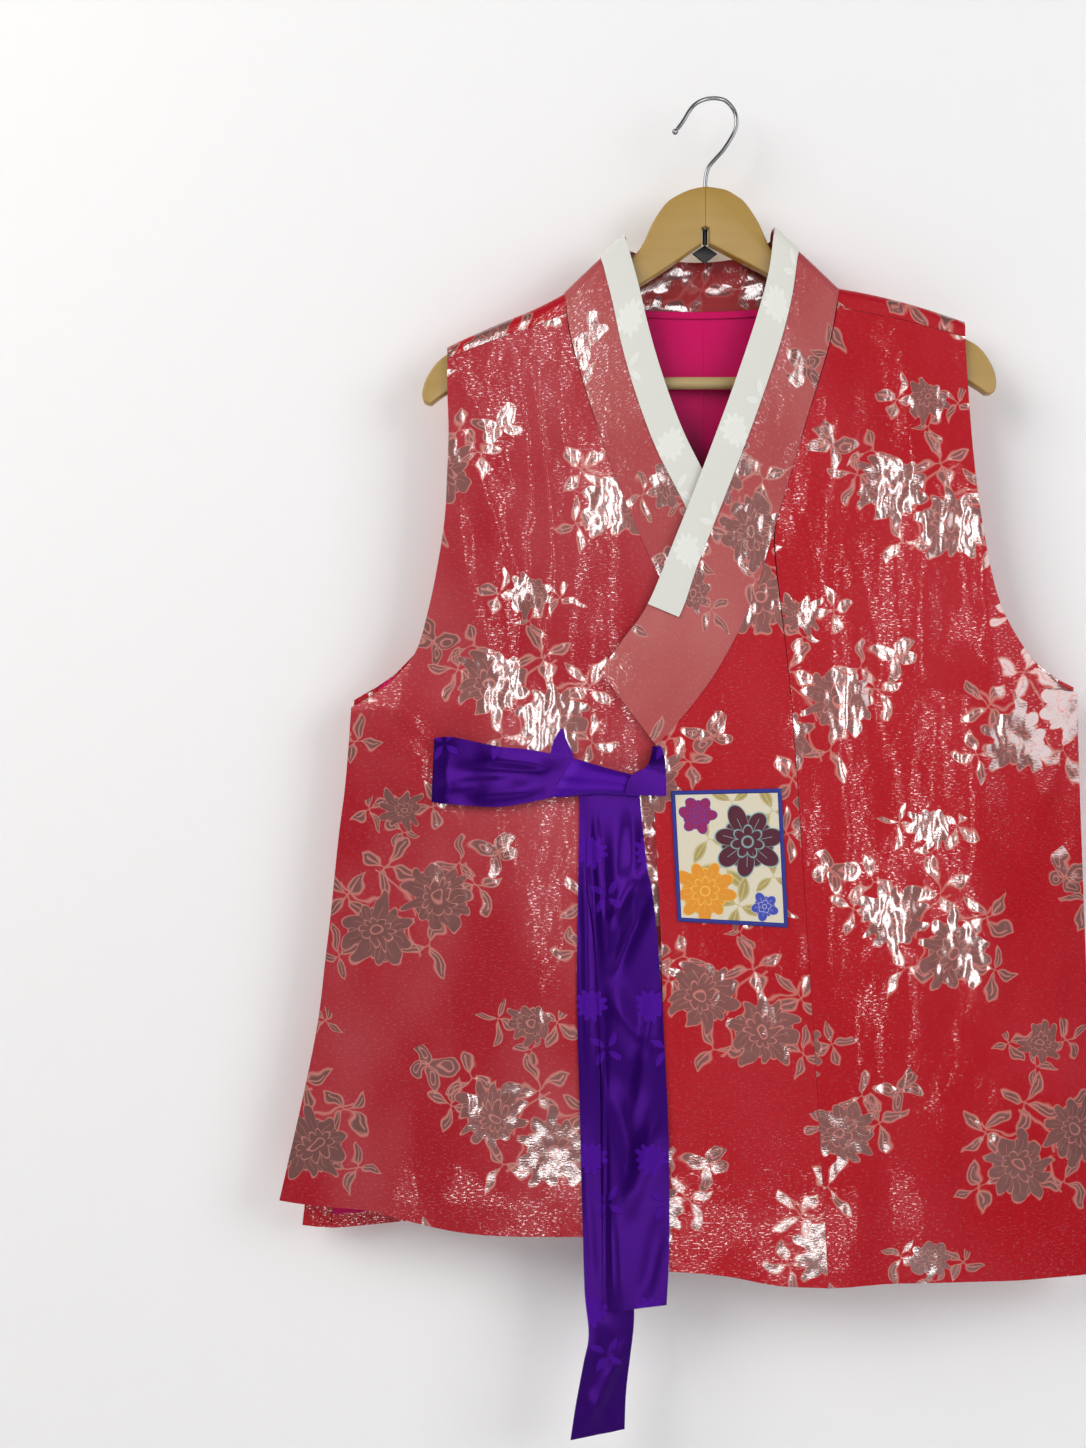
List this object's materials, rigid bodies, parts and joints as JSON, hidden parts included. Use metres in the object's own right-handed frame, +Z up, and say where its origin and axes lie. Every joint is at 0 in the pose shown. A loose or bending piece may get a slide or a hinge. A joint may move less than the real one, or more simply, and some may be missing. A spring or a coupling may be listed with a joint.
{
  "type": "sleeveless hanbok top on a wooden hanger",
  "caption": "Long sleeveless hanbok vest with crossed collar, white collar band, ribbon half bow and patch, hanging flat on a wooden hanger.",
  "frame": {"origin": "where the hanger's hook rests on its support, under the top of the hook's bend", "axes": "+Z up, +X to the viewer's right, front of the garment faces -Y"},
  "size_m": [0.6448, 0.0626, 1.0477],
  "materials": {
    "brocade": "red satin ground with metallic taupe flower brocade",
    "collar_brocade": "dusty red brocade, heavier interfacing",
    "white_satin": "white self-figured satin",
    "pink_lining": "smooth hot pink lining",
    "purple_satin": "purple self-figured satin ribbon",
    "patch_ground": "cream satin with satin-stitch flowers",
    "patch_binding": "blue satin binding",
    "wood": "clear varnished pale wood",
    "hook_chrome": "polished",
    "dark_metal": "dark metal"
  },
  "bodies": {
    "root": {"front_left": "brocade", "front_right": "brocade", "seop_right": "brocade", "back_left": "brocade", "back_right": "brocade", "facing_back_left": "brocade", "facing_back_right": "brocade", "git": "collar_brocade", "dongjeong": "white_satin", "lining_back_left": "pink_lining", "lining_back_right": "pink_lining", "neck_piping": "pink_lining", "goreum_tail_rear": "purple_satin", "goreum_tail_front": "purple_satin", "goreum_tie": "purple_satin", "goreum_peak": "purple_satin", "goreum_loop": "purple_satin", "goreum_knot": "purple_satin", "patch_ground": "patch_ground", "patch_binding": "patch_binding", "hanger_arm_left": "wood", "hanger_arm_right": "wood", "hanger_bar": "wood", "hanger_hook": "hook_chrome", "hanger_hook_tip": "hook_chrome", "hanger_pin": "dark_metal", "hanger_clip": "dark_metal"}
  },
  "joints": []
}
